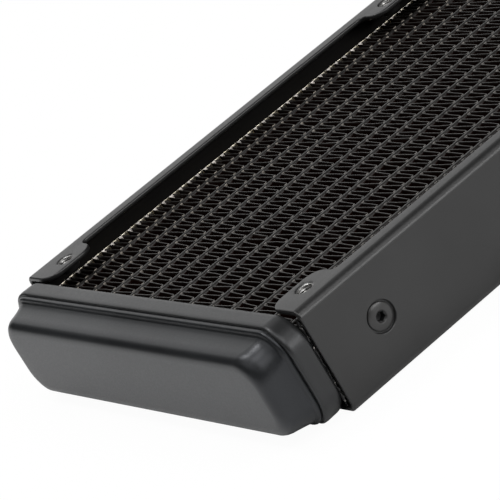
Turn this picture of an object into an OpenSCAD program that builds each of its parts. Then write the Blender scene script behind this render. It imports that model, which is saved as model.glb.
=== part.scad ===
// Slim water-cooling radiator for two 120 mm fans, lying flat with its fan face up.
// +Z is up, +Y runs from the plain return tank to the tank with the ports.
// The origin is the middle of the footprint, on the surface the radiator lies on.

/* [Fans] */
// Number of fans along the length
fan_count = 2; // [1:1:3]
// Radius of a tapped fan screw hole
fan_hole_r = 1.65; // [1.25:0.05:1.75]

/* [Body] */
// Overall width
body_w = 120; // [119:1:124]
// Overall thickness
body_t = 25; // [24:0.5:32]
// How far the return tank reaches past the side panels
return_reach = 13.5; // [13:0.5:18]
// How far the port tank reaches past the side panels
port_reach = 26; // [25:0.5:34]

/* [Core] */
// Number of flat water tubes
tube_count = 12; // [10:2:14]
// Thickness of a flat tube
tube_w = 1.7; // [1.5:0.1:2]
// Depth of the tubes through the radiator
tube_depth = 14; // [12:0.5:16]
// Wall of a flat tube
tube_wall = 0.3; // [0.2:0.05:0.4]
// Length of one full wave of the folded fin
fin_period = 2.73; // [2.5:0.01:3.5]
// Width of the flat crest where a fin touches a tube
fin_crest = 1; // [0.6:0.1:1.1]
// Thickness of the fin foil
fin_foil = 0.2; // [0.15:0.05:0.3]

/* [Side panels] */
// Thickness of the panel sheet
sheet = 1.2; // [1:0.1:1.5]
// Outer radius of the folds
fold_r = 2; // [1.5:0.1:2.5]
// Width of the folded flange along a fan
flange_w = 5; // [4:0.5:6]
// Width of the flange where it carries a fan screw
tab_w = 11.5; // [11:0.5:12]
// Reach of a screw tab beside its hole
tab_reach = 6.5; // [6:0.5:7]
// Radius of the tab corners
tab_corner_r = 4; // [3:0.5:5]
// Distance of a panel screw from the end of the panel
panel_screw_y = 15.5; // [14:0.5:18]

/* [Tanks] */
// Depth of the header's rim band
rim_depth = 4.8; // [4:0.1:5]
// Corner radius of the rim band
rim_corner_r = 7; // [5:0.5:8]
// Wall of the pressed tanks and headers
tank_wall = 0.9; // [0.8:0.1:1.2]
// Distance of a port from the middle of the port tank
port_x = 32; // [28:1:34]
// Radius of the port's tapped bore
port_bore_r = 5.9; // [5.7:0.05:6.5]
// Outer radius of the port bushing
bushing_r = 8.5; // [8:0.5:9]

/* [Hidden] */
// Smoothness of round features
$fn = 48;
// Steps in a quarter arc of an outline
arc_steps = 6;
// Small overlap that makes cuts and joins clean
eps = 0.01;
// Side length of one fan frame
fan_size = 120;
// Distance between neighbouring fan screw holes
fan_hole_pitch = 105;
// Air between a rim and the end of the side panels
end_gap = 0.3;
// Assembly clearance between neighbouring pieces
clearance = 0.05;

panel_len = fan_count * fan_size;
overall_len = panel_len + return_reach + port_reach;
y_near = -overall_len / 2;
y_panel_near = y_near + return_reach;
y_panel_far = y_panel_near + panel_len;
y_panel_mid = (y_panel_near + y_panel_far) / 2;
edge_to_hole = (fan_size - fan_hole_pitch) / 2;
hole_x = fan_hole_pitch / 2;
half_w = body_w / 2;
mid_z = body_t / 2;

// The core fills the width between the side panels, with a fin strip outside each outer tube
core_side_room = 3;
core_half_w = half_w - core_side_room;
tube_pitch = (2 * core_half_w + tube_w) / (tube_count + 1);
fin_h = tube_pitch - tube_w;
fin_depth = tube_depth - 0.2;
core_plate_t = 0.5;
header_t = 1.2;
tube_stub = 1;
fin_end_gap = 0.6;
rim_inset = 0.4;
rim_half_w = half_w - rim_inset;
rim_lo = 0.3;
rim_hi = body_t - 0.3;

// A panel screw has a low round head with a hexagon socket
screw_r = 1.5;
screw_head_r = 3.1;
screw_head_t = 0.6;
screw_len = 4.4;
screw_recess_r = 3.35;
screw_recess = 0.65;
socket_r = 1.15;
socket_depth = 1.5;
nut_plate_w = 10;
nut_plate_h = 9;
collar_r = 2.6;
collar_h = 1.5;

// Room round a panel screw in each piece that it passes
fin_screw_room = 0.6;
plate_screw_room = 0.3;
sheet_screw_room = 0.2;

// A tank is set in from the outside by these: at its skirt, its flange, and the edge of its end face
skirt_in = 2.1;
skirt_drop = 2;
skirt_start = 0.4;
skirt_corner_r = rim_corner_r - 1.6;
flange_in = 1.9;
flange_drop = 0.85;
flange_t = 1.2;
flange_corner_r = rim_corner_r - 0.7;
crease_t = 0.25;
crease_low = 1.5;
crease_high = 1.8;
flank_in = 2.5;
flank_low = 1.9;
flank_high = 2.6;
tank_corner_r = 6;
end_in = 3.5;
end_low = 2.4;
end_high = 3;
end_soft = 2.65;
end_corner_r = 6.4;
end_corner_fall = 0.6;
flank_len = 5.3;
divider_t = 1;
divider_gap = 0.15;

bushing_bottom = body_t - 7.5;
port_y = y_panel_far + 15;
port_wall_r = bushing_r + clearance;

paint = "#2b2b2d";
fin_paint = "#3a3532";
brass = "#b5a268";
steel = "#303032";

function two_digits(i) = i < 10 ? str("0", i) : str(i);
function tube_name(i) = str("tube_", two_digits(i));
function fin_name(i) = str("fin_strip_", two_digits(i));

// Outline points ---------------------------------------------------------

// Points of an arc of radius r about [cx, cy] from angle a0 to a1
function arc(cx, cy, r, a0, a1, steps = arc_steps) =
    [for (k = [0:steps]) let (a = a0 + (a1 - a0) * k / steps) [cx + r * cos(a), cy + r * sin(a)]];

// Rectangle from [x0, y0] to [x1, y1] with corners of radius r
function rounded_rect(x0, y0, x1, y1, r) = concat(
    arc(x1 - r, y1 - r, r, 0, 90),
    arc(x0 + r, y1 - r, r, 90, 180),
    arc(x0 + r, y0 + r, r, 180, 270),
    arc(x1 - r, y0 + r, r, 270, 360)
);

// Flat tube section, w thick and d deep, about the origin
function flat_oval(w, d) = concat(
    arc(0, d / 2 - w / 2, w / 2, 0, 180),
    arc(0, -d / 2 + w / 2, w / 2, 180, 360)
);

// Solid along Y from y0 to y1 with an outline given in X and Z
module along_y(y0, y1) {
    translate([0, y1, 0])
        rotate([90, 0, 0])
            linear_extrude(height = y1 - y0)
                children();
}

// Smooth shell form through rounded-rectangle sections [y, half width, low z, high z, radius]
module loft(sections) {
    ring = 4 * (arc_steps + 1);
    points = [for (s = sections) for (p = rounded_rect(-s[1], s[2], s[1], s[3], s[4])) [p[0], s[0], p[1]]];
    last = len(sections) - 1;
    sides = [
        for (s = [0:last - 1]) for (k = [0:ring - 1])
            let (a = s * ring + k, b = s * ring + (k + 1) % ring) [b, a, a + ring, b + ring]
    ];
    near_cap = [for (k = [0:ring - 1]) k];
    far_cap = [for (k = [0:ring - 1]) last * ring + ring - 1 - k];
    polyhedron(points = points, faces = concat(sides, [near_cap], [far_cap]));
}

// Headers and tanks ------------------------------------------------------

function tube_x(i) = (i - (tube_count + 1) / 2) * tube_pitch;
function fin_x(i) = (i - (tube_count + 2) / 2) * tube_pitch;

// Pressed tray that takes the tube ends, with its open side towards -Y, plate at y = 0
module header_tray() {
    color(paint)
        difference() {
            along_y(-rim_depth, 0)
                polygon(rounded_rect(-rim_half_w, rim_lo, rim_half_w, rim_hi, rim_corner_r));
            along_y(-rim_depth - eps, -header_t)
                polygon(rounded_rect(
                    -rim_half_w + tank_wall, rim_lo + tank_wall,
                    rim_half_w - tank_wall, rim_hi - tank_wall, rim_corner_r - tank_wall
                ));
            for (i = [1:tube_count])
                translate([tube_x(i), 0, mid_z])
                    along_y(-header_t - eps, eps)
                        polygon(flat_oval(tube_w + 2 * clearance, tube_depth + 2 * clearance));
        }
}

// Tank section at y, with its outside moved in by inset
function tank_section(y, side, low, high, r, inset) =
    [y, half_w - side - inset, low + inset, body_t - high - inset, r - inset];

// Part of a tank that stands in the tray
function tank_skirt(inset) = [
    for (y = [-header_t - skirt_start, -rim_depth - clearance])
        tank_section(y, skirt_in, skirt_drop, skirt_drop, skirt_corner_r, inset)
];

// Solid flange that meets the edge of the tray's rim
function tank_flange() = [
    for (y = [-rim_depth - clearance, -rim_depth - clearance - flange_t])
        tank_section(y, flange_in, flange_drop, flange_drop, flange_corner_r, 0)
];

// Crease, slightly falling flanks and the soft edge round the end face at y = -reach
function tank_front(reach, inset) =
    let (crease_y = -rim_depth - clearance - flange_t - crease_t)
    concat(
        [
            tank_section(crease_y, skirt_in, crease_low, crease_high, tank_corner_r, inset),
            tank_section(-reach + flank_len, flank_in, flank_low, flank_high, tank_corner_r, inset)
        ],
        [for (t = [0:0.25:1])
            let (
                y = -reach + end_soft * pow(1 - t, 2) + inset * t,
                turn = end_soft * pow(t, 2),
                r = end_corner_r - end_corner_fall * turn
            )
            tank_section(y, end_in + turn, end_low + turn, end_high + turn, r, inset)]
    );

// Hollow pressed tank, open towards its header
module tank_shell(reach) {
    skirt = tank_skirt(tank_wall);
    mouth = [for (k = [0:len(skirt[0]) - 1]) k == 0 ? eps : skirt[0][k]];
    difference() {
        loft(concat(tank_skirt(0), tank_flange(), tank_front(reach, 0)));
        loft(concat([mouth], skirt, tank_front(reach, tank_wall)));
    }
}

module return_header() {
    translate([0, y_panel_near - end_gap, 0])
        header_tray();
}

module port_header() {
    translate([0, y_panel_far + end_gap, 0])
        mirror([0, 1, 0])
            header_tray();
}

module return_tank() {
    color(paint)
        translate([0, y_panel_near - end_gap, 0])
            tank_shell(return_reach - end_gap);
}

module port_tank() {
    color(paint)
        difference() {
            translate([0, y_panel_far + end_gap, 0])
                mirror([0, 1, 0])
                    tank_shell(port_reach - end_gap);
            for (side = [-1, 1])
                translate([side * port_x, port_y, mid_z])
                    cylinder(r = port_wall_r, h = body_t);
        }
}

// Plate that splits the port tank into an inlet half and an outlet half
module port_divider() {
    y0 = header_t + tube_stub;
    y1 = port_reach - end_gap - end_soft;
    z0 = end_low + tank_wall + divider_gap;
    z1 = body_t - end_high - tank_wall - divider_gap;
    color(brass)
        translate([-divider_t / 2, y_panel_far + end_gap + y0, z0])
            cube([divider_t, y1 - y0, z1 - z0]);
}

// Tapped bushing that a hose fitting screws into
module port_bushing(side) {
    color(paint)
        translate([side * port_x, port_y, bushing_bottom])
            difference() {
                cylinder(r = bushing_r, h = body_t - bushing_bottom);
                translate([0, 0, -1])
                    cylinder(r = port_bore_r, h = body_t - bushing_bottom + 2);
            }
}

// Core -------------------------------------------------------------------

module tube(i) {
    past_panel = end_gap + header_t + tube_stub;
    color(brass)
        translate([tube_x(i), 0, mid_z])
            along_y(y_panel_near - past_panel, y_panel_far + past_panel)
                difference() {
                    polygon(flat_oval(tube_w, tube_depth));
                    polygon(flat_oval(tube_w - 2 * tube_wall, tube_depth - 2 * tube_wall));
                }
}

// One side of the folded foil: a flat crest at each fold, alternately left and right.
// offset is -1 for the left surface of the foil and 1 for the right one.
function foil_side(folds, start, swing, offset) =
    let (
        slope = atan2(fin_period / 2 - fin_crest, 2 * swing),
        spread = offset * fin_foil / 2 * cos(slope) / (1 + sin(slope))
    )
    [for (k = [0:folds]) for (end = [-1, 1])
        let (side = k % 2 == 0 ? -1 : 1, y = start + k * fin_period / 2)
            [side * swing + offset * fin_foil / 2, y + end * (fin_crest / 2 + side * spread)]];

// Folded foil between two tubes, its waves running along Y
module fin_strip(i) {
    swing = fin_h / 2 - clearance - fin_foil / 2;
    folds = floor((panel_len - 2 * fin_end_gap) / (fin_period / 2)) - 1;
    start = y_panel_mid - folds * fin_period / 4;
    left = foil_side(folds, start, swing, -1);
    right = foil_side(folds, start, swing, 1);
    color(fin_paint)
        difference() {
            translate([fin_x(i), 0, mid_z - fin_depth / 2])
                linear_extrude(height = fin_depth)
                    polygon(concat(left, [for (k = [len(right) - 1:-1:0]) right[k]]));
            if (i == 1 || i == tube_count + 1)
                panel_screw_holes(i == 1 ? -1 : 1, screw_r + fin_screw_room);
        }
}

// Places its children on the panel screws of one side, with +Z pointing outwards
module at_panel_screws(side) {
    for (y = [y_panel_near + panel_screw_y, y_panel_far - panel_screw_y])
        translate([side * half_w, y, mid_z])
            rotate([0, side * 90, 0])
                children();
}

module panel_screw_holes(side, r) {
    at_panel_screws(side)
        translate([0, 0, -screw_recess - screw_len - 0.2])
            cylinder(r = r, h = screw_recess + screw_len + 1);
}

// Bare metal strip that closes the side of the core
module core_plate(side) {
    color(brass)
        difference() {
            translate([side * (core_half_w + clearance + core_plate_t / 2), y_panel_mid, mid_z])
                cube([core_plate_t, panel_len - 2 * fin_end_gap, tube_depth], center = true);
            panel_screw_holes(side, screw_r + plate_screw_room);
        }
}

// Tapped plates behind the panel, one for each panel screw
module nut_plates(side) {
    inner = core_half_w + clearance + core_plate_t + clearance;
    outer = half_w - sheet - clearance;
    color(brass)
        difference() {
            at_panel_screws(side)
                translate([0, 0, (inner + outer) / 2 - half_w])
                    cube([nut_plate_h, nut_plate_w, outer - inner], center = true);
            panel_screw_holes(side, screw_r);
        }
}

module panel_screws(side) {
    color(steel)
        at_panel_screws(side)
            difference() {
                union() {
                    translate([0, 0, -screw_recess])
                        cylinder(r = screw_head_r, h = screw_head_t);
                    translate([0, 0, -screw_recess - screw_len])
                        cylinder(r = screw_r - clearance, h = screw_len + eps);
                }
                translate([0, 0, -screw_recess + screw_head_t - socket_depth])
                    cylinder(r = socket_r, h = socket_depth + 1, $fn = 6);
            }
}

// Side panels ------------------------------------------------------------

// Channel section of the right panel: web, two folds and two flanges
module panel_section() {
    outer_x = half_w;
    inner_x = half_w - sheet;
    edge_x = half_w - flange_w;
    inner_r = fold_r - sheet;
    polygon(concat(
        [[edge_x, 0]],
        arc(outer_x - fold_r, fold_r, fold_r, 270, 360),
        arc(outer_x - fold_r, body_t - fold_r, fold_r, 0, 90),
        [[edge_x, body_t], [edge_x, body_t - sheet]],
        arc(inner_x - inner_r, body_t - sheet - inner_r, inner_r, 90, 0, 3),
        arc(inner_x - inner_r, sheet + inner_r, inner_r, 0, -90, 3),
        [[edge_x, sheet]]
    ));
}

// Screw tab outline of the right panel from y0 to y1, rounded at its free corners
module tab_outline(y0, y1) {
    tab_x = half_w - tab_w;
    root_x = half_w - flange_w + 0.5;
    polygon(concat(
        [[root_x, y0], [root_x, y1]],
        arc(tab_x + tab_corner_r, y1 - tab_corner_r, tab_corner_r, 90, 180),
        arc(tab_x + tab_corner_r, y0 + tab_corner_r, tab_corner_r, 180, 270)
    ));
}

// Hole rows along one side, measured from the near end of the panel
function hole_rows() = [
    for (f = [0:fan_count - 1]) for (row = [0, 1])
        f * fan_size + edge_to_hole + row * fan_hole_pitch
];

// The tabs of neighbouring fans meet in one long tab
function tab_spans() = concat(
    [[0, edge_to_hole + tab_reach]],
    [for (f = [1:1:fan_count - 1]) [
        f * fan_size - edge_to_hole - tab_reach,
        f * fan_size + edge_to_hole + tab_reach
    ]],
    [[panel_len - edge_to_hole - tab_reach, panel_len]]
);

// Tabs, hole collars and their holes on one face of the right panel, outer face at z = 0
module fan_face() {
    translate([0, 0, -sheet])
        linear_extrude(height = sheet)
            for (span = tab_spans())
                tab_outline(span[0], span[1]);
    for (y = hole_rows())
        translate([hole_x, y, -sheet - collar_h])
            cylinder(r = collar_r, h = collar_h + eps);
}

module fan_holes() {
    for (y = hole_rows())
        translate([hole_x, y, -sheet - collar_h - 1])
            cylinder(r = fan_hole_r, h = sheet + collar_h + 2);
}

// Places its children on the top face and, turned over, on the bottom face
module on_both_faces() {
    translate([0, y_panel_near, body_t])
        children();
    translate([0, y_panel_near, 0])
        mirror([0, 0, 1])
            children();
}

module right_panel() {
    color(paint)
        difference() {
            union() {
                along_y(y_panel_near, y_panel_far)
                    panel_section();
                on_both_faces()
                    fan_face();
            }
            on_both_faces()
                fan_holes();
            panel_screw_holes(1, screw_r + sheet_screw_room);
            at_panel_screws(1)
                translate([0, 0, -screw_recess])
                    cylinder(r = screw_recess_r, h = 1);
        }
}

module side_panel_right() {
    right_panel();
}

module side_panel_left() {
    mirror([1, 0, 0])
        right_panel();
}

return_tank();
return_header();
port_tank();
port_header();
port_divider();
port_bushing(-1);  // port_bushing_left
port_bushing(1);  // port_bushing_right
side_panel_left();
side_panel_right();
core_plate(-1);  // core_plate_left
core_plate(1);  // core_plate_right
nut_plates(-1);  // nut_plates_left
nut_plates(1);  // nut_plates_right
panel_screws(-1);  // panel_screws_left
panel_screws(1);  // panel_screws_right
for (i = [1:tube_count]) tube(i);
for (i = [1:tube_count + 1]) fin_strip(i);
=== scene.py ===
"""Slim water-cooling radiator lying flat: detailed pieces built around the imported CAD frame.

Lengths are in millimetres until a mesh is made. +Y runs from the return tank to the port tank.
"""

import functools
import math
import random

import bmesh
import bpy
from mathutils import Matrix, Vector, noise


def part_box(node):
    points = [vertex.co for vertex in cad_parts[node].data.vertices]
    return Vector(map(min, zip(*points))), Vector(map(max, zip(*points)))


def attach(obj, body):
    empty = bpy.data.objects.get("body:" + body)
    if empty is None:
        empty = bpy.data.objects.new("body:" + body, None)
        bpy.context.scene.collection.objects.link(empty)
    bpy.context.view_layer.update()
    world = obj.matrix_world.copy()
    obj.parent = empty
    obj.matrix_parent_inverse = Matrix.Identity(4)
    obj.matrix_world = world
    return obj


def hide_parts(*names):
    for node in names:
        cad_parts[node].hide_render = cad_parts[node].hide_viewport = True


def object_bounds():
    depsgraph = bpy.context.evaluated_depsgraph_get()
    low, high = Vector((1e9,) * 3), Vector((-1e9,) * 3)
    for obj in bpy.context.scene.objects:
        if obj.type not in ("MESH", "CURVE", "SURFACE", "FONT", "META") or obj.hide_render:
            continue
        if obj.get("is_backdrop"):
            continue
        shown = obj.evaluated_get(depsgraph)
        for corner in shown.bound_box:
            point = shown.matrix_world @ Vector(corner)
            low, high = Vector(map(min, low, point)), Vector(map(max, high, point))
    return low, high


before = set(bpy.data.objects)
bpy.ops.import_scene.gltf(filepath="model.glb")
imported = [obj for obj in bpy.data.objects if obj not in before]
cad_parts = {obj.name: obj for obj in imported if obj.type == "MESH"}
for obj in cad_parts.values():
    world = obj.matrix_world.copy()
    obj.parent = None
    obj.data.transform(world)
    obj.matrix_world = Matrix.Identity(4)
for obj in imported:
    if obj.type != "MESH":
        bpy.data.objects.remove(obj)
cad_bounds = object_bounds()

MM = 0.001


@functools.cache
def node_box(name):
    """Lowest and highest corner of a CAD node, in millimetres."""
    low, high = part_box(name)
    return low / MM, high / MM


# Sizes that the CAD settles -------------------------------------------------

panel_low, panel_high = node_box("side_panel_right")
HALF_W = panel_high.x
BODY_T = panel_high.z
MID_Z = BODY_T / 2
PANEL_NEAR = panel_low.y
PANEL_LEN = panel_high.y - panel_low.y
FAN = 120
HOLE_PITCH = 105
EDGE_TO_HOLE = (FAN - HOLE_PITCH) / 2
HOLE_ROWS = [fan * FAN + EDGE_TO_HOLE + row * HOLE_PITCH for fan in range(2) for row in range(2)]

tray_low, tray_high = node_box("return_header")
RIM_HALF = tray_high.x
RIM_LOW = tray_low.z
RIM_HIGH = tray_high.z
TRAY_DEPTH = tray_high.y - tray_low.y
NEAR_TRAY = tray_high.y
FAR_TRAY = node_box("port_header")[0].y

# The rim's lip flares outwards near its two ends
FLARE = 0.6
FLARE_START = 50
FLARE_RUN = 8

# Side panel sheet
SHEET = 1.2
FOLD_R = 2
EDGE_R = 0.4
FLANGE_W = 5
TAB_W = HALF_W - panel_low.x
TAB_REACH = 6.5
TAB_CORNER = 4
TAB_FILLET = 1.6
COLLAR = 1.5
PANEL_SCREW = 15.5

# Core
TUBE_COUNT = 12
TUBE_W = 1.7
TUBE_DEPTH = 14
TUBE_WALL = 0.3
FIN_PERIOD = 2.73
DENTS_A_STRIP = 7


# Mesh building --------------------------------------------------------------


class Piece:
    """A mesh under construction, in millimetres."""

    def __init__(self):
        self.mesh = bmesh.new()

    def loop(self, points):
        return [self.mesh.verts.new(point) for point in points]

    def face(self, corners, paint=0):
        self.mesh.faces.new(corners).material_index = paint

    def bridge(self, first, second, paint=0):
        """Joins two closed loops of equal length with a band of faces."""
        for k in range(len(first)):
            self.face((first[k - 1], first[k], second[k], second[k - 1]), paint)

    def skin(self, loops, paint=0):
        for first, second in zip(loops, loops[1:]):
            self.bridge(first, second, paint)

    def fill(self, outer, *holes, paint=0):
        """Fills a flat outline, leaving its holes open."""
        edges = []
        for loop in (outer, *holes):
            for k in range(len(loop)):
                known = self.mesh.edges.get((loop[k - 1], loop[k]))
                edges.append(known or self.mesh.edges.new((loop[k - 1], loop[k])))
        filled = bmesh.ops.triangle_fill(self.mesh, use_beauty=True, edges=edges)["geom"]
        for part in filled:
            if isinstance(part, bmesh.types.BMFace):
                part.material_index = paint

    def finish(self, name, slot, materials, stands_for=(), crease=35):
        """Makes the Blender object, shades it and puts it on the radiator's one body."""
        mesh = self.mesh
        bmesh.ops.recalc_face_normals(mesh, faces=mesh.faces)
        bmesh.ops.scale(mesh, vec=(MM, MM, MM), verts=mesh.verts)
        for face in mesh.faces:
            face.smooth = True
        for edge in mesh.edges:
            edge.smooth = edge.calc_face_angle(0) < math.radians(crease)
        data = bpy.data.meshes.new(name)
        mesh.to_mesh(data)
        mesh.free()
        for material in materials:
            data.materials.append(material)
        made = bpy.data.objects.new(name, data)
        bpy.context.scene.collection.objects.link(made)
        weighting = made.modifiers.new("even_shading", "WEIGHTED_NORMAL")
        weighting.keep_sharp = True
        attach(made, "root")
        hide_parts(*stands_for)
        return made


def arc(cx, cy, radius, start, end, steps=8):
    """Points of an arc in a plane, with its angles in degrees."""
    turns = [math.radians(start + (end - start) * k / steps) for k in range(steps + 1)]
    return [(cx + radius * math.cos(a), cy + radius * math.sin(a)) for a in turns]


def turned(piece, place, profile, steps=36):
    """Loops of a turned shape. A radius may be a function of the angle, for sockets and threads."""
    loops = []
    for radius, height in profile:
        points = []
        for k in range(steps):
            angle = 2 * math.pi * k / steps
            reach = radius(angle) if callable(radius) else radius
            points.append(place(reach * math.cos(angle), reach * math.sin(angle), height))
        loops.append(piece.loop(points))
    return loops


def hexagon(flat):
    """Radius of a hexagonal socket at an angle, from half its width across flats."""
    return lambda angle: flat / math.cos((angle + math.pi / 6) % (math.pi / 3) - math.pi / 6)


def thread(base, ridge, pitch, start, end, levels=6):
    """Profile of a tapped wall: a helical ridge that stands in from the base radius."""
    count = round(abs(end - start) / pitch * levels)
    profile = []
    for k in range(count + 1):
        height = start + (end - start) * k / count
        crest = ridge * min(1, k / levels, (count - k) / levels)

        def radius(angle, height=height, crest=crest):
            phase = (height / pitch - angle / (2 * math.pi)) % 1
            return base - crest * (1 - abs(2 * phase - 1))

        profile.append((radius, height))
    return profile


def blend_stations(a, b, share):
    return [p + (q - p) * share for p, q in zip(a, b)]


def softened(stations, steps=5):
    """Rounds each station over its last value, a length in the plane of the first two values."""
    curve = []
    for k, station in enumerate(stations):
        soft = station[-1]
        if soft == 0 or k in (0, len(stations) - 1):
            curve.append(station)
            continue
        ends = []
        for other in (stations[k - 1], stations[k + 1]):
            gap = math.hypot(other[0] - station[0], other[1] - station[1])
            ends.append(blend_stations(station, other, min(0.5, soft / gap)))
        for step in range(steps + 1):
            t = step / steps
            first = blend_stations(ends[0], station, t)
            second = blend_stations(station, ends[1], t)
            curve.append(blend_stations(first, second, t))
    return curve


def rounded_ring(y, half, low, high, lower_r, upper_r, steps=10):
    """Rounded rectangle across the radiator at y, from z = low to z = high."""
    points = arc(half - upper_r, high - upper_r, upper_r, 0, 90, steps)
    points += arc(upper_r - half, high - upper_r, upper_r, 90, 180, steps)
    points += arc(lower_r - half, low + lower_r, lower_r, 180, 270, steps)
    points += arc(half - lower_r, low + lower_r, lower_r, 270, 360, steps)
    return [(x, y, z) for x, z in points]


def pressed_loops(piece, stations, plane, outward):
    """Loops of a pressed part. A station is depth, half width, low, high, two corner radii, softness."""
    loops = []
    for depth, half, low, high, lower_r, upper_r, soft in softened(stations):
        loops.append(piece.loop(rounded_ring(plane + outward * depth, half, low, high, lower_r, upper_r)))
    return loops


# Materials ------------------------------------------------------------------


def node(tree, kind, inputs=(), **settings):
    """Adds a shader node. An input that is a socket is linked, and anything else is its value."""
    made = tree.nodes.new(kind)
    for key, value in settings.items():
        setattr(made, key, value)
    for key, value in dict(inputs).items():
        if isinstance(value, bpy.types.NodeSocket):
            tree.links.new(value, made.inputs[key])
        else:
            made.inputs[key].default_value = value
    return made


def grey(value, warmth=0.0):
    """Linear colour near a grey: positive warmth leans to red, negative to blue."""
    return (value * (1 + warmth), value, value * (1 - warmth), 1)


def pattern(tree, size, detail=2.0, stretch=(1, 1, 1)):
    """Noise whose features are about size millimetres across."""
    place = node(tree, "ShaderNodeTexCoord").outputs["Object"]
    fitted = node(tree, "ShaderNodeMapping", {"Vector": place, "Scale": stretch})
    scale = 1 / (size * MM)
    inputs = {"Vector": fitted.outputs["Vector"], "Scale": scale, "Detail": detail}
    return node(tree, "ShaderNodeTexNoise", inputs).outputs["Fac"]


def spread(tree, value, low, high, start=0.3, end=0.7):
    """Maps a noise value from start..end to low..high."""
    inputs = {"Value": value, "From Min": start, "From Max": end, "To Min": low, "To Max": high}
    return node(tree, "ShaderNodeMapRange", inputs).outputs["Result"]


def mixed(tree, share, first, second):
    """Mixes two colours by a share from 0 to 1."""
    made = node(tree, "ShaderNodeMix", data_type="RGBA")
    tree.links.new(share, made.inputs["Factor"])
    for socket, colour in ((made.inputs[6], first), (made.inputs[7], second)):
        if isinstance(colour, bpy.types.NodeSocket):
            tree.links.new(colour, socket)
        else:
            socket.default_value = colour
    return made.outputs[2]


def bumped(tree, height, depth, below=None):
    """Bump of that depth in millimetres, over another bump where one is given."""
    made = node(tree, "ShaderNodeBump", {"Height": height, "Distance": depth * MM, "Strength": 1.0})
    if below is not None:
        tree.links.new(below, made.inputs["Normal"])
    return made.outputs["Normal"]


def new_material(name):
    material = bpy.data.materials.new(name)
    material.use_nodes = True
    tree = material.node_tree
    return material, tree, tree.nodes["Principled BSDF"]


def powder_coat(name, value, warmth, roughness, grain=0.35, sheen=(1, 1, 1, 1), gloss=0.5):
    """Satin black paint with a fine grain, a faint orange peel and cloudy tone."""
    material, tree, shader = new_material(name)
    fine = pattern(tree, grain, detail=3)
    peel = pattern(tree, 2.2)
    cloud = pattern(tree, 16)
    dark, light = grey(value * 0.8, warmth), grey(value * 1.25, warmth)
    tone = mixed(tree, spread(tree, cloud, 0, 1), dark, light)
    speck = mixed(tree, spread(tree, fine, 0, 0.35, 0.55, 0.8), tone, grey(value * 2.2, warmth))
    tree.links.new(speck, shader.inputs["Base Color"])
    shader.inputs["Specular Tint"].default_value = sheen
    shader.inputs["Specular IOR Level"].default_value = gloss
    tree.links.new(spread(tree, fine, roughness - 0.04, roughness + 0.05), shader.inputs["Roughness"])
    relief = bumped(tree, fine, 0.006, bumped(tree, peel, 0.012))
    tree.links.new(relief, shader.inputs["Normal"])
    return material


def core_paint_and_depth_shade(name, value, reach, roughness=0.38, deep=(0.008, 0.0025, 0.0015, 1), tinned=None):
    """Thin sprayed black, dense near the two faces of the core. Below its reach it turns near black and
    loses its reflection: partly real dark stained copper, partly painted shade deep in the core.

    Where tinned gives a colour, it shows through towards the left side, which the spray reached least.
    """
    material, tree, shader = new_material(name)
    place = node(tree, "ShaderNodeTexCoord").outputs["Object"]
    axes = node(tree, "ShaderNodeSeparateXYZ", {"Vector": place}).outputs
    inwards = node(tree, "ShaderNodeMath", {0: axes["Z"], 1: MID_Z * MM}, operation="SUBTRACT").outputs[0]
    off_middle = node(tree, "ShaderNodeMath", {0: inwards}, operation="ABSOLUTE").outputs[0]
    face = TUBE_DEPTH / 2
    # Share that fades the paint to the deep colour: partly real copper stain, partly painted shade in the
    # depths of the core.
    depth = {"Value": off_middle, "From Min": (face - 0.15) * MM, "From Max": (face - reach) * MM}
    stain_and_shade_share = node(tree, "ShaderNodeMapRange", depth).outputs["Result"]
    dark, light = grey(value * 0.7, 0.05), grey(value * 1.4, 0.08)
    paint = mixed(tree, spread(tree, pattern(tree, 5), 0, 1), dark, light)
    if tinned:
        paint = mixed(tree, spread(tree, axes["X"], 1, 0, -HALF_W * MM, -0.15 * HALF_W * MM), paint, tinned)
    tree.links.new(mixed(tree, stain_and_shade_share, paint, deep), shader.inputs["Base Color"])
    # The reflection also fades away with depth: painted shade.
    tree.links.new(spread(tree, stain_and_shade_share, 0.5, 0.03, 0, 1), shader.inputs["Specular IOR Level"])
    fine = pattern(tree, 0.3, detail=3)
    tree.links.new(spread(tree, fine, roughness, roughness + 0.15), shader.inputs["Roughness"])
    tree.links.new(bumped(tree, fine, 0.01), shader.inputs["Normal"])
    return material


def bare_metal(name, colour, stain, roughness, size=0.8, relief=0.02):
    """Metal without paint: uneven tone, flow marks and a soft lumpy surface."""
    material, tree, shader = new_material(name)
    blotch = pattern(tree, size * 4, detail=4)
    tone = mixed(tree, spread(tree, blotch, 0, 1), colour, stain)
    tree.links.new(tone, shader.inputs["Base Color"])
    shader.inputs["Metallic"].default_value = 1.0
    fine = pattern(tree, size, detail=3)
    tree.links.new(spread(tree, fine, roughness - 0.1, roughness + 0.12), shader.inputs["Roughness"])
    tree.links.new(bumped(tree, fine, relief), shader.inputs["Normal"])
    return material


def flux_solder(name):
    """Solder under patchy overspray: black paint broken by small silver crinkles."""
    material, tree, shader = new_material(name)
    crinkle = pattern(tree, 0.7, detail=4)
    bare = spread(tree, crinkle, 0, 1, 0.61, 0.66)
    colour = mixed(tree, bare, grey(0.005), grey(0.5, 0.06))
    tree.links.new(colour, shader.inputs["Base Color"])
    tree.links.new(bare, shader.inputs["Metallic"])
    tree.links.new(spread(tree, crinkle, 0.5, 0.3), shader.inputs["Roughness"])
    tree.links.new(bumped(tree, crinkle, 0.12), shader.inputs["Normal"])
    return material


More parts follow.
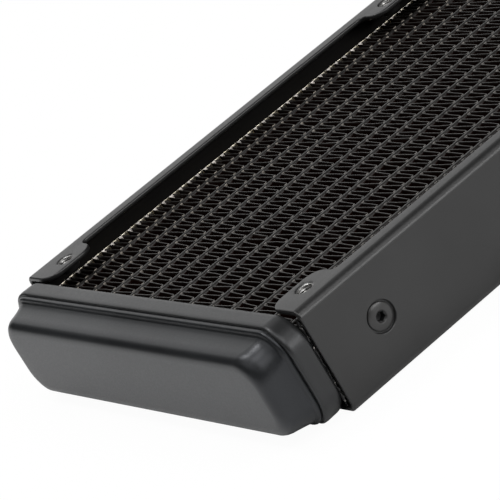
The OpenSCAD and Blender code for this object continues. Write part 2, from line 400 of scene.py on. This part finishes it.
TANK_PAINT = powder_coat("tank_powder_coat", 0.011, -0.07, 0.36, sheen=(0.92, 0.94, 1.0, 1), gloss=0.42)
HEADER_PAINT = powder_coat("header_powder_coat", 0.010, -0.03, 0.38, sheen=(0.97, 0.98, 1.0, 1), gloss=0.44)
PANEL_PAINT = powder_coat("panel_powder_coat", 0.010, 0.0, 0.36, grain=0.3)
SCREW_STEEL = powder_coat("blackened_screw_steel", 0.014, 0.02, 0.32, grain=0.2)
# Darker, duller black for the hex sockets: painted shade in the recess.
SOCKET_SHADE = powder_coat("socket_painted_shade", 0.003, 0.0, 0.6, grain=0.2)
# Core materials grow darker and less reflective with depth: partly real stained copper, partly painted
# shade.
TUBE_PAINT = core_paint_and_depth_shade("tube_overspray_and_depth_shade", 0.012, 0.6, roughness=0.22)
FIN_PAINT = core_paint_and_depth_shade("fin_overspray_and_depth_shade", 0.021, 0.55)
# Crest faces: painted highlight, a much lighter grey than the fins' paint where the crests catch the light,
# with real tin showing towards the left.
CREST_PAINT_AND_HIGHLIGHT = core_paint_and_depth_shade("crest_overspray_and_painted_highlight", 0.13, 1.7, tinned=(0.32, 0.285, 0.24, 1))
# Bare tin on the crests of the outermost strips, in a near-white matt colour that is partly painted
# highlight.
CREST_TIN_AND_HIGHLIGHT = core_paint_and_depth_shade("tinned_crest_and_painted_highlight", 0.9, 5, roughness=0.3, deep=(0.2, 0.17, 0.12, 1))
# Darker, duller paint for the inner face of the panels' web: painted shade for the shadow inside the
# channel.
INNER_SHADE_PAINT = powder_coat("panel_inner_painted_shade", 0.003, 0.2, 0.6, gloss=0.12)
TIN = bare_metal("tinned_solder", (0.72, 0.68, 0.58, 1), (0.5, 0.45, 0.34, 1), 0.42)
BRASS = bare_metal("bare_brass", (0.65, 0.48, 0.24, 1), (0.42, 0.3, 0.15, 1), 0.35)
THREAD_METAL = bare_metal("tapped_steel", (0.6, 0.59, 0.57, 1), (0.25, 0.25, 0.25, 1), 0.45, 0.3)
SOLDER = flux_solder("flux_and_solder")


# Tanks and headers ----------------------------------------------------------


def header_tray(name, stands_for, plane, outward):
    """Pressed tray with a bent rim; its plate is slotted for the tube ends."""
    middle = 4.6
    wall = 0.9
    plate = 1.2
    inside = [RIM_HALF - wall, RIM_LOW + wall, RIM_HIGH - wall, 6.1, 6.1]
    outside = [RIM_HALF, RIM_LOW, RIM_HIGH, 7, 7]
    centre = [RIM_HALF - middle, RIM_LOW + middle, RIM_HIGH - middle, 2.4, 2.4]
    stations = [
        [0, *centre, 0],
        [0, *outside, 1.5],
        [TRAY_DEPTH, HALF_W, *outside[1:], 1.1],
        [TRAY_DEPTH, *inside, 0.28],
        [plate, *inside, 0.6],
        [plate, *centre, 0],
    ]
    piece = Piece()
    loops = pressed_loops(piece, stations, plane, outward)
    for vert in piece.mesh.verts:
        depth = (vert.co.y - plane) * outward / TRAY_DEPTH
        end = max(0, min(1, (abs(vert.co.x) - FLARE_START) / FLARE_RUN))
        vert.co.y += outward * FLARE * depth ** 2 * end * end * (3 - 2 * end)
    piece.skin(loops)
    slots = [[], []]
    for depth, loop_list in zip((0, plate), slots):
        for k in range(TUBE_COUNT):
            oval = flat_oval(TUBE_W + 0.1, TUBE_DEPTH + 0.1)
            loop_list.append(piece.loop(
                (tube_x(k) + x, plane + outward * depth, MID_Z + z) for x, z in oval
            ))
    for face_loop, cut in ((loops[0], slots[0]), (loops[-1], slots[1])):
        piece.fill(face_loop, *cut)
    for first, second in zip(*slots):
        piece.bridge(first, second)
    return piece.finish(name, "header_paint", [HEADER_PAINT], [stands_for])


def flat_oval(w, d, steps=8):
    """Section of a flat tube, w thick and d deep."""
    return arc(0, d / 2 - w / 2, w / 2, 0, 180, steps) + arc(0, w / 2 - d / 2, w / 2, 180, 360, steps)


def tube_x(k):
    low, high = node_box(f"tube_{k + 1:02d}")
    return (low.x + high.x) / 2


def tank_stations(reach):
    """Outside of a tank: skirt, flange against the rim, crease, curved flanks and soft end face."""
    flange = TRAY_DEPTH + 0.06
    turn = reach - 5.3
    return [
        [1.7, 57.9, 2.0, 23.0, 5.4, 5.4, 0],
        [flange, 57.9, 2.0, 23.0, 5.4, 5.4, 0.1],
        [flange, 58.5, 0.8, 24.15, 6.3, 6.3, 0.35],
        [flange + 1.2, 58.5, 0.8, 24.15, 6.3, 6.3, 0.5],
        [flange + 1.45, 57.9, 1.5, 23.2, 6, 6, 0.3],
        [turn, 57.5, 1.9, 22.4, 5.8, 6, 2.2],
        [reach, 56.3, 2.4, 22.0, 6.4, 7, 2.65],
        [reach, 49.6, 9.2, 15.2, 0.8, 0.8, 0],
    ]


def tank_shell(reach, plane, outward, wall=0.9):
    """Hollow pressed tank, open towards its header."""
    piece = Piece()
    outer = tank_stations(reach)
    inner = []
    for depth, half, low, high, lower_r, upper_r, soft in outer:
        inward = depth if depth < reach else depth - wall
        corner = [max(0.8, lower_r - wall), max(0.8, upper_r - wall)]
        inner.append([inward, half - wall, low + wall, high - wall, *corner, soft])
    outer_loops = pressed_loops(piece, outer, plane, outward)
    inner_loops = pressed_loops(piece, inner, plane, outward)
    piece.skin(outer_loops)
    piece.skin(inner_loops)
    piece.bridge(outer_loops[0], inner_loops[0])
    piece.fill(outer_loops[-1])
    piece.fill(inner_loops[-1])
    return piece


def return_tank():
    low, high = node_box("return_tank")
    piece = tank_shell(NEAR_TRAY - low.y, NEAR_TRAY, -1)
    return piece.finish("pressed_return_tank", "tank_paint", [TANK_PAINT], ["return_tank"])


def cut(piece, tool):
    """Cuts the tool's solid out of the piece and removes the tool."""
    cutting = piece.modifiers.new("cut", "BOOLEAN")
    cutting.operation = "DIFFERENCE"
    cutting.solver = "EXACT"
    cutting.object = tool
    bpy.context.view_layer.update()
    shaped = piece.evaluated_get(bpy.context.evaluated_depsgraph_get())
    result = bpy.data.meshes.new_from_object(shaped)
    piece.modifiers.clear()
    piece.data = result
    bpy.data.objects.remove(tool)


def port_place(side):
    """Puts points of a port round its own axis, with height from the lying surface."""
    low, high = node_box("port_bushing_right")
    x, y = side * (low.x + high.x) / 2, (low.y + high.y) / 2
    return lambda px, py, height: (x + px, y + py, height)


def port_tank():
    low, high = node_box("port_tank")
    piece = tank_shell(high.y - FAR_TRAY, FAR_TRAY, 1)
    made = piece.finish("pressed_port_tank", "tank_paint", [TANK_PAINT], ["port_tank"])
    for side in (-1, 1):
        drill = Piece()
        loops = turned(drill, port_place(side), [(8.52, MID_Z), (8.52, BODY_T + 5)], 72)
        drill.skin(loops)
        drill.face(loops[0])
        drill.face(loops[-1])
        tool_mesh = bpy.data.meshes.new("port_drill")
        bmesh.ops.recalc_face_normals(drill.mesh, faces=drill.mesh.faces)
        bmesh.ops.scale(drill.mesh, vec=(MM, MM, MM), verts=drill.mesh.verts)
        drill.mesh.to_mesh(tool_mesh)
        tool = bpy.data.objects.new("port_drill", tool_mesh)
        bpy.context.scene.collection.objects.link(tool)
        cut(made, tool)
    weighting = made.modifiers.new("even_shading", "WEIGHTED_NORMAL")
    weighting.keep_sharp = True


def port_bushing(side, name, stands_for):
    """Tapped bushing with a soldered foot where it meets the tank."""
    low, high = node_box(stands_for)
    bottom, top = low.z, high.z
    outer = (high.x - low.x) / 2
    seat = top - 1.7
    shell = [
        (6.6, bottom), (outer, bottom), (outer, seat - 0.9), (outer + 0.9, seat - 0.2), (outer + 0.8, seat),
        (outer + 0.35, seat + 0.12), (outer + 0.08, seat + 0.4), (outer, seat + 0.8), (outer, top - 0.35),
        (outer - 0.12, top - 0.1), (outer - 0.4, top), (7.4, top), (7.2, top - 0.05), (6.7, top - 0.5),
    ]
    bore = [(6.5, top - 0.7)] + thread(6.5, 0.6, 1.337, top - 0.75, bottom + 0.4) + [(6.6, bottom)]
    piece = Piece()
    loops = turned(piece, port_place(side), shell, 72)
    piece.skin(loops)
    inside = turned(piece, port_place(side), bore[:-1], 72)
    piece.bridge(loops[-1], inside[0], 1)
    piece.skin(inside, 1)
    piece.bridge(inside[-1], loops[0], 1)
    return piece.finish(name, "bushing_metal", [TANK_PAINT, BRASS], [stands_for])


# Side panels ----------------------------------------------------------------

WEB = MID_Z - FOLD_R
FOLD = FOLD_R * math.pi / 2
FLAT = WEB + FOLD
FLANGE_EDGE = FLAT + FLANGE_W - FOLD_R
TAB_EDGE = FLAT + TAB_W - FOLD_R
HOLE_ACROSS = FLAT + HALF_W - FOLD_R - HOLE_PITCH / 2
FOLD_STEPS = 8


def bend(along, across, depth, side):
    """Folds a point of the flat sheet into the channel. across is measured from the web's middle."""
    reach = abs(across)
    if reach <= WEB:
        x, z = HALF_W - depth, reach
    elif reach < FLAT:
        turn = (reach - WEB) / FOLD_R
        x = HALF_W - FOLD_R + (FOLD_R - depth) * math.cos(turn)
        z = WEB + (FOLD_R - depth) * math.sin(turn)
    else:
        x, z = HALF_W - FOLD_R - (reach - FLAT), MID_Z - depth
    return (side * x, PANEL_NEAR + along, MID_Z + math.copysign(z, across))


def tab_spans():
    """Start and end of each screw tab; the tabs of neighbouring fans meet in one long tab."""
    first = EDGE_TO_HOLE + TAB_REACH
    return [(0, first), (FAN - first, FAN + first), (PANEL_LEN - first, PANEL_LEN)]


def free_edge(inset):
    """Free edge of a flange with its screw tabs, from the near end to the far end."""
    points = []
    inner = TAB_CORNER - inset
    outer = TAB_FILLET + inset
    for start, end in tab_spans():
        if start > 0:
            points += arc(start - TAB_FILLET, FLANGE_EDGE + TAB_FILLET, outer, 270, 360)
        points += arc(start + TAB_CORNER, TAB_EDGE - TAB_CORNER, inner, 180, 90)
        points += arc(end - TAB_CORNER, TAB_EDGE - TAB_CORNER, inner, 90, 0)
        if end < PANEL_LEN:
            points += arc(end + TAB_FILLET, FLANGE_EDGE + TAB_FILLET, outer, 180, 270)
    return points


def panel_rows():
    """Distances across the sheet where it is divided, from the top flange to the bottom one."""
    rows = [FLAT - FOLD * k / FOLD_STEPS for k in range(FOLD_STEPS + 1)]
    return rows + [-row for row in reversed(rows)]


def panel_rim(piece, inset, depth, side):
    """One loop round the whole sheet, in four stretches: top edge, far end, bottom edge, near end."""
    edge = free_edge(inset)
    rows = panel_rows()
    stretches = [
        edge,
        [(PANEL_LEN - inset, row) for row in rows],
        [(along, -across) for along, across in reversed(edge)],
        [(inset, row) for row in reversed(rows)],
    ]
    return [piece.loop(bend(u, v, depth, side) for u, v in stretch) for stretch in stretches]


def sheet_edge(radius, thickness, steps=3):
    """Insets and depths that round both edges of a cut sheet."""
    turns = [math.radians(90 * k / steps) for k in range(steps + 1)]
    outer = [(radius * (1 - math.sin(a)), radius * (1 - math.cos(a))) for a in turns]
    return outer + [(inset, thickness - depth) for inset, depth in reversed(outer)]


def tapped_hole(piece, side, along, across):
    """Dimpled hole with a tapped collar behind it. Returns its loops on the two faces of the sheet."""
    def place(px, py, depth):
        return bend(along + px, across + py, depth, side)

    end = SHEET + COLLAR
    mouth = [(2.45, 0), (2.3, 0.03), (2.1, 0.1), (1.9, 0.2), (1.7, 0.32)]
    bore = thread(1.68, 0.2, 0.6, 0.45, end - 0.1)
    collar = [(1.8, end), (2.35, end), (2.5, end - 0.08), (2.58, end - 0.25)]
    collar += [(2.6, SHEET + 0.5), (2.68, SHEET + 0.2), (2.9, SHEET)]
    mouth_loops = turned(piece, place, mouth)
    bore_loops = turned(piece, place, bore)
    collar_loops = turned(piece, place, collar)
    piece.skin(mouth_loops[:-1])
    piece.skin(mouth_loops[-2:] + bore_loops[:1], 1)
    piece.skin(bore_loops, 1)
    piece.bridge(bore_loops[-1], collar_loops[0], 1)
    piece.skin(collar_loops)
    return mouth_loops[0], collar_loops[-1]


def screw_seat(piece, side, along):
    """Pressed round seat that sinks a panel screw's head into the web."""
    def place(px, py, depth):
        return bend(along + px, py, depth, side)

    seat = [(3.72, 0), (3.6, 0.03), (3.5, 0.12), (3.46, 0.25), (3.45, 0.66), (3.38, 0.72), (1.75, 0.72)]
    loops = turned(piece, place, seat + [(1.7, 0.7), (1.7, SHEET)], 48)
    piece.skin(loops)
    return loops[0], loops[-1]


def side_panel(side, name, stands_for):
    """Folded channel with screw tabs on both faces."""
    piece = Piece()
    rims = [panel_rim(piece, inset, depth, side) for inset, depth in sheet_edge(EDGE_R, SHEET)]
    piece.skin([sum(rim, []) for rim in rims])
    top_holes = [tapped_hole(piece, side, row, HOLE_ACROSS) for row in HOLE_ROWS]
    bottom_holes = [tapped_hole(piece, side, row, -HOLE_ACROSS) for row in HOLE_ROWS]
    web_holes = [screw_seat(piece, side, row) for row in (PANEL_SCREW, PANEL_LEN - PANEL_SCREW)]
    for which, (top, far, bottom, near) in ((0, rims[0]), (1, rims[-1])):
        piece.fill([near[-1], *top, far[0]], *[hole[which] for hole in top_holes])
        piece.fill([far[-1], *bottom, near[0]], *[hole[which] for hole in bottom_holes])
        for k in range(len(far) - 1):
            corners = (far[k], far[k + 1], near[-k - 2], near[-k - 1])
            if k == FOLD_STEPS:
                # The inner face of the web takes the darker inner paint: painted shade inside the channel.
                piece.fill(corners, *[hole[which] for hole in web_holes], paint=2 * which)
            else:
                piece.face(corners)
    return piece.finish(name, "panel_paint", [PANEL_PAINT, THREAD_METAL, INNER_SHADE_PAINT], [stands_for])


def panel_screws(side, name, stands_for):
    """Low round-head screws with a hexagon socket, one near each end of the panel."""
    shank = [(0.6, -5.3), (1.1, -5.15), (1.42, -4.8), (1.42, -0.72)]
    head = [
        (3.0, -0.72), (3.08, -0.66), (3.1, -0.56), (3.02, -0.44), (2.85, -0.35), (2.5, -0.24),
        (2.1, -0.14), (1.75, -0.07), (1.55, -0.04), (1.36, -0.06), (1.26, -0.14), (1.18, -0.3),
    ]
    socket = [(hexagon(0.97), -0.4), (hexagon(0.95), -1.9), (0.5, -2.2)]
    piece = Piece()
    for along in (PANEL_SCREW, PANEL_LEN - PANEL_SCREW):
        def place(px, py, height):
            return (side * (HALF_W + height), PANEL_NEAR + along + px, MID_Z + py)

        loops = turned(piece, place, shank + head + socket, 48)
        inside = len(shank + head)
        piece.skin(loops[:inside])
        # The socket walls and floor take the darker socket material: painted shade in the recess.
        piece.skin(loops[inside - 1:], 1)
        piece.face(loops[0])
        piece.face(loops[-1], 1)
    return piece.finish(name, "screw_steel", [SCREW_STEEL, SOCKET_SHADE], [stands_for])


# Core -----------------------------------------------------------------------


def wander(index, seed, spacing):
    """Smooth irregularity between about -1 and 1 along a row."""
    return 1.6 * noise.noise(Vector((index * spacing, seed * 7.31, 0.5)))


def water_tube(k):
    """Flat brass tube, slightly wavy between the headers."""
    node_name = f"tube_{k + 1:02d}"
    low, high = node_box(node_name)
    segments = 64
    piece = Piece()
    outer, inner = [], []
    for step in range(segments + 1):
        share = step / segments
        y = low.y + (high.y - low.y) * share
        hold = min(1, 12 * share, 12 * (1 - share))
        shift = 0.07 * hold * wander(step, k + 1, 0.35)
        for loops, trim in ((outer, 0), (inner, TUBE_WALL)):
            oval = flat_oval(TUBE_W - 2 * trim, TUBE_DEPTH - 2 * trim)
            loops.append(piece.loop((tube_x(k) + x + shift, y, MID_Z + z) for x, z in oval))
    piece.skin(outer)
    piece.skin(inner)
    piece.bridge(outer[0], inner[0])
    piece.bridge(outer[-1], inner[-1])
    return piece.finish(f"water_tube_{k + 1:02d}", "tube_paint", [TUBE_PAINT], [node_name])


def fin_path(swing, folds, start, seed, half_crest):
    """Middle line of a folded foil: crests with rounded corners, joined by slightly bowed legs.

    Each point is x, y, and whether it belongs to a crest on the left (-1), on the right (1) or to a leg (0).
    """
    corner = 0.16
    path = []
    for fold in range(folds + 1):
        side = -1 if fold % 2 == 0 else 1
        y = start + fold * FIN_PERIOD / 2 + 0.1 * wander(fold, seed, 0.9)
        path.append((side * (swing - corner), y - half_crest, 0))
        path.append((side * swing, y - half_crest + corner, side))
        path.append((side * swing, y + half_crest - corner, side))
        path.append((side * (swing - corner), y + half_crest, 0))
        if fold < folds:
            bow = 0.1 * wander(fold, seed + 0.37, 1.7)
            path.append((0, y + FIN_PERIOD / 4 + bow, 0))
    return path


def dents(count, path_len, seed):
    """Where the fin tips were pushed over by handling, and how far."""
    chance = random.Random(seed)
    pushes = [0.0] * path_len
    for _ in range(count):
        middle = chance.randrange(4, path_len - 4)
        reach = chance.choice((-1, 1)) * chance.uniform(0.25, 0.6)
        for offset in range(-3, 4):
            pushes[middle + offset] += reach * (1 - abs(offset) / 4)
    return pushes


def fin_strip(number, bare_side):
    """Folded foil strip. bare_side is the side of its tinned crests on an outermost strip, or 0."""
    node_name = f"fin_strip_{number:02d}"
    low, high = node_box(node_name)
    foil = 0.17
    swing = (high.x - low.x) / 2 - foil / 2
    centre = (low.x + high.x) / 2
    folds = math.floor((PANEL_LEN - 1.2) / (FIN_PERIOD / 2)) - 1
    middle = PANEL_NEAR + PANEL_LEN / 2
    half_crest = 0.6 if bare_side else 0.5
    path = fin_path(swing, folds, middle - folds * FIN_PERIOD / 4, number, half_crest)
    pushes = dents(DENTS_A_STRIP, len(path), number)
    tip = 1.6
    levels = [(low.z, 1), (low.z + tip, 0), (high.z - tip, 0), (high.z, 1)]
    rings = []
    piece = Piece()
    for z, loose in levels:
        left, right = [], []
        for k, (x, y, crest) in enumerate(path):
            before, after = path[max(k - 1, 0)], path[min(k + 1, len(path) - 1)]
            along = Vector((after[0] - before[0], after[1] - before[1])).normalized()
            across = Vector((-along.y, along.x)) * foil / 2
            lean = 0 if crest else loose * (pushes[k] + 0.07 * wander(k, number, 0.3))
            left.append((centre + x + across.x, y + across.y + lean, z))
            right.append((centre + x - across.x, y - across.y + lean, z))
        rings.append((piece.loop(left), piece.loop(right)))
    last = len(path) - 1
    for k in range(last):
        # Crest faces take the lighter crest materials. They carry a painted highlight where the crests catch
        # the light. On the bare crests of the outermost strips they show real tin in a near-white that is
        # partly painted highlight.
        near, far = path[k][2], path[k + 1][2]
        paint = 1 if near and far else 0
        if bare_side and bare_side in (near, far):
            paint = 2
        for (left, right), (upper_left, upper_right) in zip(rings, rings[1:]):
            piece.face((left[k], left[k + 1], upper_left[k + 1], upper_left[k]), paint)
            piece.face((right[k + 1], right[k], upper_right[k], upper_right[k + 1]), paint)
        for left, right in (rings[0], rings[-1]):
            piece.face((left[k], right[k], right[k + 1], left[k + 1]), paint)
    for k in (0, last):
        for (left, right), (upper_left, upper_right) in zip(rings, rings[1:]):
            piece.face((left[k], right[k], upper_right[k], upper_left[k]))
    materials = [FIN_PAINT, CREST_PAINT_AND_HIGHLIGHT, CREST_TIN_AND_HIGHLIGHT]
    return piece.finish(f"folded_fins_{number:02d}", "fin_paint", materials, [node_name])


def core_plate(side, name, stands_for):
    """Bare tinned strip that closes the side of the core."""
    low, high = node_box(stands_for)
    piece = Piece()
    segments = 80
    loops = []
    for step in range(segments + 1):
        y = low.y + (high.y - low.y) * step / segments
        ripple = 0.05 * wander(step, side + 4, 0.8)
        lift = 0.15 * (wander(step, side + 6, 0.5) - 1) - 0.5
        corners = [(low.x + 0.06, low.z), (high.x - 0.06, low.z), (high.x, low.z + 0.1)]
        corners += [(high.x, high.z - 0.3), (high.x - 0.1, high.z + lift)]
        corners += [(low.x + 0.1, high.z + lift), (low.x, high.z - 0.3)]
        corners += [(low.x, low.z + 0.1)]
        loops.append(piece.loop((x + ripple * 0.5, y, z) for x, z in corners))
    piece.skin(loops)
    piece.face(loops[0])
    piece.face(loops[-1])
    return piece.finish(name, "tinned_strip", [TIN], [stands_for])


def solder_seam(side, end, name):
    """Lumpy solder and flux at the corner where a header, a side panel and the core meet."""
    piece = Piece()
    plane, inward = (NEAR_TRAY, 1) if end < 0 else (FAR_TRAY, -1)
    segments = 70
    loops = []
    for step in range(segments + 1):
        share = step / segments
        z = 1.6 + (BODY_T - 3.2) * share
        points = []
        for k in range(10):
            angle = 2 * math.pi * k / 10
            lump = noise.noise(Vector((z * 1.1, k * 0.9, side * 3 + end)))
            crinkle = noise.noise(Vector((z * 3.1, k * 2.3, side * 5 + end)))
            reach = 0.55 + 0.3 * lump + 0.25 * crinkle
            squeeze = min(1, 8 * share + 0.1, 8 * (1 - share) + 0.1)
            x = 57.9 + 1.5 * reach * math.cos(angle) * squeeze
            y = plane + inward * (0.25 + 0.75 * reach * math.sin(angle) * squeeze)
            points.append((side * min(x, 58.75), y, z))
        loops.append(piece.loop(points))
    piece.skin(loops)
    piece.face(loops[0])
    piece.face(loops[-1])
    return piece.finish(name, "header_paint", [SOLDER], crease=60)


# CAD pieces that are kept as they are ----------------------------------------


def finish_cad_node(name, material):
    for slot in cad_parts[name].material_slots:
        slot.material = material


# Studio ---------------------------------------------------------------------


def make_camera():
    """Long lens, low over the corner, turned on its axis as the product was framed."""
    eye = Vector((603.3, -368.6, 251.8)) * MM
    aim = Vector((-14.9, -94.7, 12.5)) * MM
    data = bpy.data.cameras.new("camera")
    data.lens = 232.7
    camera = bpy.data.objects.new("camera", data)
    bpy.context.scene.collection.objects.link(camera)
    facing = (aim - eye).to_track_quat("-Z", "Y").to_matrix().to_4x4()
    roll = Matrix.Rotation(math.radians(-31.18), 4, "Z")
    camera.matrix_world = Matrix.Translation(eye) @ facing @ roll
    bpy.context.scene.camera = camera


def softbox(name, place, size, power, glossy=True):
    """Rectangular light that faces the radiator."""
    data = bpy.data.lights.new(name, "AREA")
    data.shape = "RECTANGLE"
    data.size, data.size_y = size
    data.energy = power
    light = bpy.data.objects.new(name, data)
    bpy.context.scene.collection.objects.link(light)
    light.location = place
    light.rotation_euler = Vector(place).to_track_quat("Z", "Y").to_euler()
    light.visible_glossy = glossy
    return light


def make_world():
    """Dim studio air for the object, and plain white where the camera sees past the floor."""
    world = bpy.data.worlds.new("studio")
    bpy.context.scene.world = world
    world.use_nodes = True
    tree = world.node_tree
    tree.nodes.clear()
    seen = node(tree, "ShaderNodeLightPath").outputs["Is Camera Ray"]
    air = node(tree, "ShaderNodeBackground", {"Color": grey(1.0), "Strength": 0.01}).outputs[0]
    white = node(tree, "ShaderNodeBackground", {"Color": grey(1.0), "Strength": 1.0}).outputs[0]
    both = node(tree, "ShaderNodeMixShader", {0: seen, 1: air, 2: white}).outputs[0]
    node(tree, "ShaderNodeOutputWorld", {"Surface": both})


def make_floor():
    """Wide pale table top. It takes part in the light as matt white, and is seen overexposed."""
    piece = bmesh.new()
    bmesh.ops.create_circle(piece, cap_ends=True, segments=96, radius=6)
    data = bpy.data.meshes.new("floor")
    piece.to_mesh(data)
    piece.free()
    floor = bpy.data.objects.new("floor", data)
    bpy.context.scene.collection.objects.link(floor)
    floor.location.z = -0.05 * MM
    material, tree, shader = new_material("pale_table")
    cloud = pattern(tree, 300)
    tone = mixed(tree, spread(tree, cloud, 0, 1), grey(0.78), grey(0.82))
    tree.links.new(tone, shader.inputs["Base Color"])
    shader.inputs["Roughness"].default_value = 0.9
    shader.inputs["Specular IOR Level"].default_value = 0.1
    seen = node(tree, "ShaderNodeLightPath").outputs["Is Camera Ray"]
    share = node(tree, "ShaderNodeMath", {0: seen, 1: 0.96}, operation="MULTIPLY").outputs[0]
    white = node(tree, "ShaderNodeEmission", {"Color": grey(1.0), "Strength": 1.0}).outputs[0]
    both = node(tree, "ShaderNodeMixShader", {0: share, 1: shader.outputs[0], 2: white}).outputs[0]
    tree.links.new(both, tree.nodes["Material Output"].inputs["Surface"])
    data.materials.append(material)
    floor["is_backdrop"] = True


def make_lights():
    """Light for the table, softboxes whose reflections shape the paint, and two small overhead ones."""
    softbox("table_light", (0, 0, 1.6), (2.5, 2.5), 20, glossy=False)
    softbox("wall_light", (-1.41, 0.34, 0.38), (1.0, 0.8), 2.7)
    softbox("side_light", (1.3, 0.6, 0.45), (1.0, 0.4), 9)
    softbox("high_right", (1.0, 0.0, 1.15), (1.2, 0.7), 9)
    softbox("high_front", (0.0, -1.0, 1.15), (1.2, 0.7), 2.3)
    softbox("high_left", (-1.0, 0.3, 1.15), (1.2, 0.7), 1.6)
    softbox("overhead_left", (-0.55, -0.2, 1.4), (0.4, 0.4), 6.5)
    softbox("overhead_right", (0.3, -0.3, 1.4), (0.3, 0.3), 3)


# Assembly -------------------------------------------------------------------

make_camera()
return_tank()
port_tank()
header_tray("bent_return_header", "return_header", NEAR_TRAY, -1)
header_tray("bent_port_header", "port_header", FAR_TRAY, 1)
for side, word in ((-1, "left"), (1, "right")):
    port_bushing(side, f"threaded_port_{word}", f"port_bushing_{word}")
    side_panel(side, f"folded_panel_{word}", f"side_panel_{word}")
    panel_screws(side, f"socket_screws_{word}", f"panel_screws_{word}")
    core_plate(side, f"tinned_plate_{word}", f"core_plate_{word}")
    solder_seam(side, -1, f"solder_near_{word}")
    solder_seam(side, 1, f"solder_far_{word}")
    finish_cad_node(f"nut_plates_{word}", BRASS)
finish_cad_node("port_divider", BRASS)
for k in range(TUBE_COUNT):
    water_tube(k)
for number in range(1, TUBE_COUNT + 2):
    fin_strip(number, {1: -1, TUBE_COUNT + 1: 1}.get(number, 0))

make_world()
make_floor()
make_lights()
bpy.context.scene.view_settings.view_transform = "Standard"

sizes = {"cad": cad_bounds, "visual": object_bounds()}
{name: [list(corner) for corner in box] for name, box in sizes.items()}
